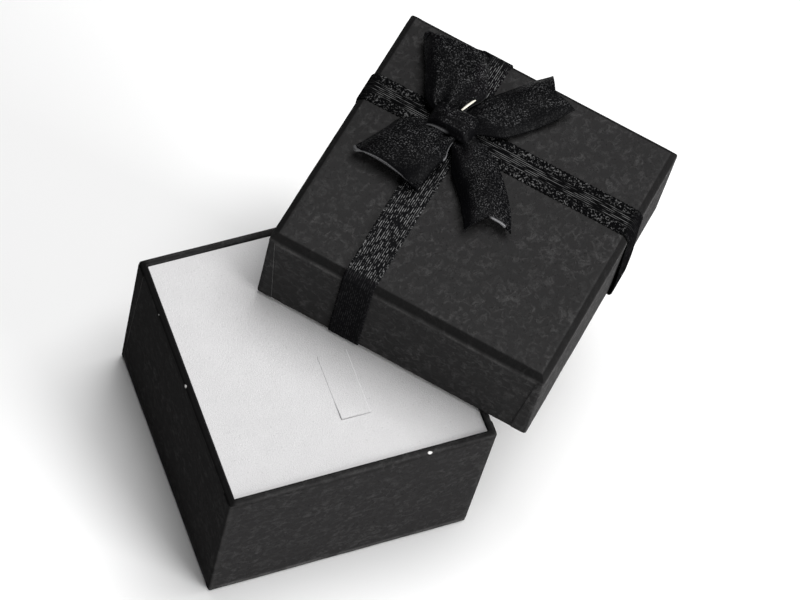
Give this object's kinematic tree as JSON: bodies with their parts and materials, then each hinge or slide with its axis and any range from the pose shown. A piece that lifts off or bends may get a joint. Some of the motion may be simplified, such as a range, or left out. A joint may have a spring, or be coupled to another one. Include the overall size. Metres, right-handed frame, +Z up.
{
  "type": "jewelry gift box",
  "caption": "Square paper-covered rigid box for small jewelry: tray with foam and card insert and a ring tongue, lift-off lid with crossed ribbon bands and a bow, shown opened.",
  "frame": {"origin": "centre of the tray's underside", "axes": "+X to the right along the tray's front wall, +Y to the tray's back, +Z up; the tray stands on XY and the opened lid lies level across its rim, turned about +Z"},
  "size_m": [0.0947, 0.0762, 0.0627],
  "materials": {
    "greyboard": "matte",
    "stay_tape": "matte",
    "black_paper": "textured matte",
    "white_foam": "matte",
    "white_card": "velvety matte",
    "black_ribbon": "satin",
    "glue": "satin"
  },
  "bodies": {
    "tray": {"tray_board": "greyboard", "tray_corner_stays": "stay_tape", "tray_wrap": "black_paper"},
    "insert": {"insert_foam": "white_foam", "insert_card": "white_card"},
    "tongue": {"ring_tongue": "white_card"},
    "lid": {"lid_board": "greyboard", "lid_corner_stays": "stay_tape", "lid_wrap": "black_paper", "ribbon_left_right": "black_ribbon", "ribbon_front_back": "black_ribbon", "bow_glue_dot": "glue", "bow_knot": "black_ribbon", "bow_loop_back": "black_ribbon", "bow_loop_front": "black_ribbon", "bow_tail_back": "black_ribbon", "bow_tail_front": "black_ribbon"}
  },
  "joints": [
    {"name": "insert_lift", "type": "slide", "parent": "tray", "child": "insert", "axis": [0, 0, 1], "range_m": [0, 0.04]},
    {"name": "tongue_hinge", "type": "hinge", "parent": "insert", "child": "tongue", "pos_m": [0.0022, -0.0015, 0.03535], "axis": [-1, 0, 0], "range_deg": [0, 75]},
    {"name": "lid_lift", "type": "slide", "parent": "insert", "child": "lid", "axis": [0, 0, 1], "range_m": [0, 0.06]}
  ]
}
